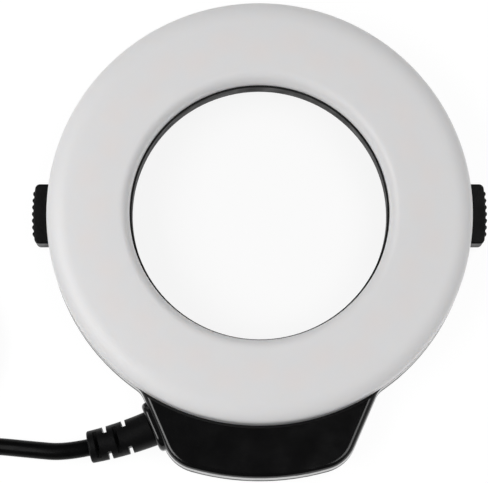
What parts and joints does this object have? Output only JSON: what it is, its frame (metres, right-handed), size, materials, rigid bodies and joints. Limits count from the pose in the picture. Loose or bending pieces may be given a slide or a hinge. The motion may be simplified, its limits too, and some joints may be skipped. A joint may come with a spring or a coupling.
{
  "type": "macro led ring light",
  "caption": "Ring light head with milky annular diffuser, black housing, spring latches each side for a lens adapter, and a cable from its chin.",
  "frame": {"origin": "centre of the lens bore at the rear face, which rests on the surface", "axes": "+Z along the bore axis towards the subject, the way the light shines; -Y towards the chin; +X to the right seen from the front"},
  "size_m": [0.2058, 0.1353, 0.019],
  "materials": {
    "black_shell": "moulded ABS, satin",
    "black_gloss": "moulded ABS, polished chin",
    "black_inner": "moulded ABS",
    "milky": "opal acrylic, semi-gloss",
    "white_tray": "moulded",
    "board": "solder mask",
    "led_body": "ceramic white",
    "phosphor": "cast",
    "chip": "moulded",
    "connector": "moulded nylon",
    "slider": "acetal",
    "grip": "ribbed, fine texture",
    "spring_steel": "drawn wire",
    "screw_steel": "blackened",
    "relief_rubber": "moulded PVC",
    "cable_jacket": "extruded PVC",
    "wire_red": "PVC insulation",
    "tie": "moulded",
    "plug_moulding": "moulded PVC",
    "plug_metal": "nickel plated",
    "plug_plastic": "moulded",
    "pin_metal": "nickel plated"
  },
  "bodies": {
    "housing": {"rear_housing": "black_shell", "front_housing": "black_gloss", "chassis_plate": "black_inner", "diffuser": "milky", "reflector_tray": "white_tray", "led_board": "board", "led_packages": "led_body", "led_phosphors": "phosphor", "board_components": "chip", "board_connector": "connector", "latch_spring_left": "spring_steel", "latch_spring_right": "spring_steel", "housing_screws": "screw_steel", "chassis_screws": "screw_steel", "board_screws": "screw_steel", "strain_relief": "relief_rubber", "cable_core": "cable_jacket", "supply_wires": "wire_red", "cable": "cable_jacket", "cable_coil": "cable_jacket", "cable_tie": "tie", "plug_body": "plug_moulding", "plug_shell": "plug_metal", "plug_insulator": "plug_plastic", "plug_pins": "pin_metal"},
    "latch_left_body": {"latch_slider_left": "slider", "latch_grip_left": "grip"},
    "latch_right_body": {"latch_slider_right": "slider", "latch_grip_right": "grip"}
  },
  "joints": [
    {"name": "latch_left", "type": "slide", "parent": "housing", "child": "latch_left_body", "axis": [1, 0, 0], "range_m": [0, 0.0022], "stiffness_N_per_m": 600, "springref_m": -0.002, "deforming": ["latch_spring_left"]},
    {"name": "latch_right", "type": "slide", "parent": "housing", "child": "latch_right_body", "axis": [-1, 0, 0], "range_m": [0, 0.0022], "stiffness_N_per_m": 600, "springref_m": -0.002, "deforming": ["latch_spring_right"]}
  ]
}
